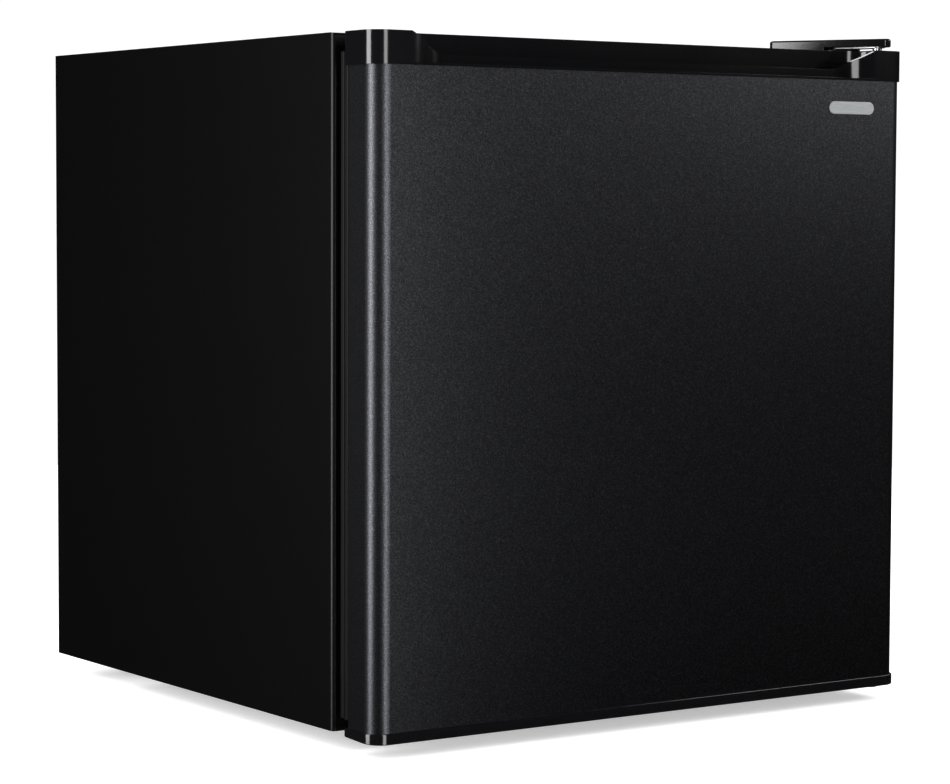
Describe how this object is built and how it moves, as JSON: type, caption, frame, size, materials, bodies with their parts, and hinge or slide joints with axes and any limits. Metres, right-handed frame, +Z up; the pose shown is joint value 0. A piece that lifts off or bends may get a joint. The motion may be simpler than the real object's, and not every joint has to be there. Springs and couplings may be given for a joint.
{
  "type": "mini fridge",
  "caption": "Compact cube refrigerator, black steel cabinet, charcoal door hinged on the right with a finger recess in its glossy top cap, freezer box, shelf and door racks.",
  "frame": {"origin": "centre of the overall box in plan, on the floor under the feet", "axes": "+Z up, the door faces -Y, the hinge is at +X"},
  "size_m": [0.46, 0.4558, 0.4843],
  "materials": {
    "cabinet_paint": "semi-gloss black enamel",
    "back_paint": "satin black enamel",
    "door_paint": "fine metallic charcoal paint",
    "gloss_black": "glossy moulded",
    "zinc_steel": "zinc plated sheet",
    "hardware": "zinc plated",
    "white_liner": "semi-gloss white sheet",
    "white_plastic": "moulded white",
    "clear_plastic": "translucent moulded",
    "foam": "rigid foam",
    "copper": "drawn copper tube",
    "steel_tube": "coated steel tube",
    "pump_paint": "black enamel",
    "rubber": "moulded rubber",
    "gasket_rubber": "soft vinyl",
    "evaporator_aluminium": "roll bonded",
    "black_plastic": "moulded",
    "shelf_glass": "tempered",
    "badge_silver": "satin"
  },
  "bodies": {
    "root": {"outer_wrap": "cabinet_paint", "bottom_panel": "zinc_steel", "bay_plate": "zinc_steel", "back_panel": "back_paint", "fill_plug": "black_plastic", "panel_screws": "hardware", "inner_liner": "white_liner", "cabinet_foam": "foam", "condenser_tubes": "steel_tube", "base_rails": "zinc_steel", "grommets": "rubber", "mount_bolts": "hardware", "compressor_feet": "pump_paint", "compressor_lower_shell": "pump_paint", "compressor_upper_shell": "pump_paint", "terminals": "hardware", "start_relay": "black_plastic", "overload_protector": "black_plastic", "terminal_cover": "black_plastic", "cord_gland": "rubber", "condenser_lines": "copper", "process_tube": "copper", "suction_line": "copper", "filter_drier": "copper", "capillary_tube": "copper", "evaporator": "evaporator_aluminium", "hanger_spacers": "white_plastic", "freezer_frame": "white_plastic", "tray_rails": "white_plastic", "thermostat_housing": "white_plastic", "thermostat_body": "black_plastic", "sensor_tube": "copper", "foot_nuts": "hardware", "rear_feet": "black_plastic", "top_hinge_bracket": "zinc_steel", "hinge_pins": "hardware", "top_hinge_cover": "gloss_black", "hinge_screws": "hardware", "bottom_hinge_bracket": "zinc_steel", "hole_plugs": "black_plastic"},
    "door": {"door_skin": "door_paint", "door_top_cap": "gloss_black", "door_bottom_cap": "gloss_black", "door_foam": "foam", "door_liner": "white_liner", "door_bushes": "black_plastic", "door_gasket": "gasket_rubber", "door_magnet": "gasket_rubber", "badge": "badge_silver"},
    "flap": {"freezer_flap": "clear_plastic"},
    "tray": {"drip_tray": "white_plastic"},
    "shelf": {"shelf_glass": "shelf_glass", "shelf_front_trim": "white_plastic", "shelf_rear_trim": "white_plastic"},
    "knob": {"thermostat_knob": "white_plastic"},
    "foot_left": {"levelling_foot_left": "black_plastic"},
    "foot_right": {"levelling_foot_right": "black_plastic"},
    "rack_lower": {"door_rack_lower": "clear_plastic"},
    "rack_middle": {"door_rack_middle": "clear_plastic"},
    "rack_upper": {"door_rack_upper": "clear_plastic"}
  },
  "joints": [
    {"name": "door_hinge", "type": "hinge", "parent": "root", "child": "door", "pos_m": [0.219, -0.20752, 0.243], "axis": [0, 0, 1], "range_deg": [0, 120]},
    {"name": "freezer_flap_hinge", "type": "hinge", "parent": "root", "child": "flap", "pos_m": [-0.089, -0.048, 0.421], "axis": [-1, 0, 0], "range_deg": [0, 85]},
    {"name": "drip_tray_slide", "type": "slide", "parent": "root", "child": "tray", "axis": [0, -1, 0], "range_m": [0, 0.08]},
    {"name": "shelf_slide", "type": "slide", "parent": "root", "child": "shelf", "axis": [0, -1, 0], "range_m": [0, 0.042]},
    {"name": "thermostat_turn", "type": "hinge", "parent": "root", "child": "knob", "pos_m": [0.165, -0.03, 0.388], "axis": [-1, 0, 0], "range_deg": [0, 270]},
    {"name": "foot_left_screw", "type": "slide", "parent": "root", "child": "foot_left", "axis": [0, 0, -1], "range_m": [0, 0.01]},
    {"name": "foot_right_screw", "type": "slide", "parent": "root", "child": "foot_right", "axis": [0, 0, -1], "range_m": [0, 0.01]},
    {"name": "rack_lower_lift", "type": "slide", "parent": "door", "child": "rack_lower", "axis": [0, 0, 1], "range_m": [0, 0.013]},
    {"name": "rack_middle_lift", "type": "slide", "parent": "door", "child": "rack_middle", "axis": [0, 0, 1], "range_m": [0, 0.013]},
    {"name": "rack_upper_lift", "type": "slide", "parent": "door", "child": "rack_upper", "axis": [0, 0, 1], "range_m": [0, 0.013]}
  ]
}
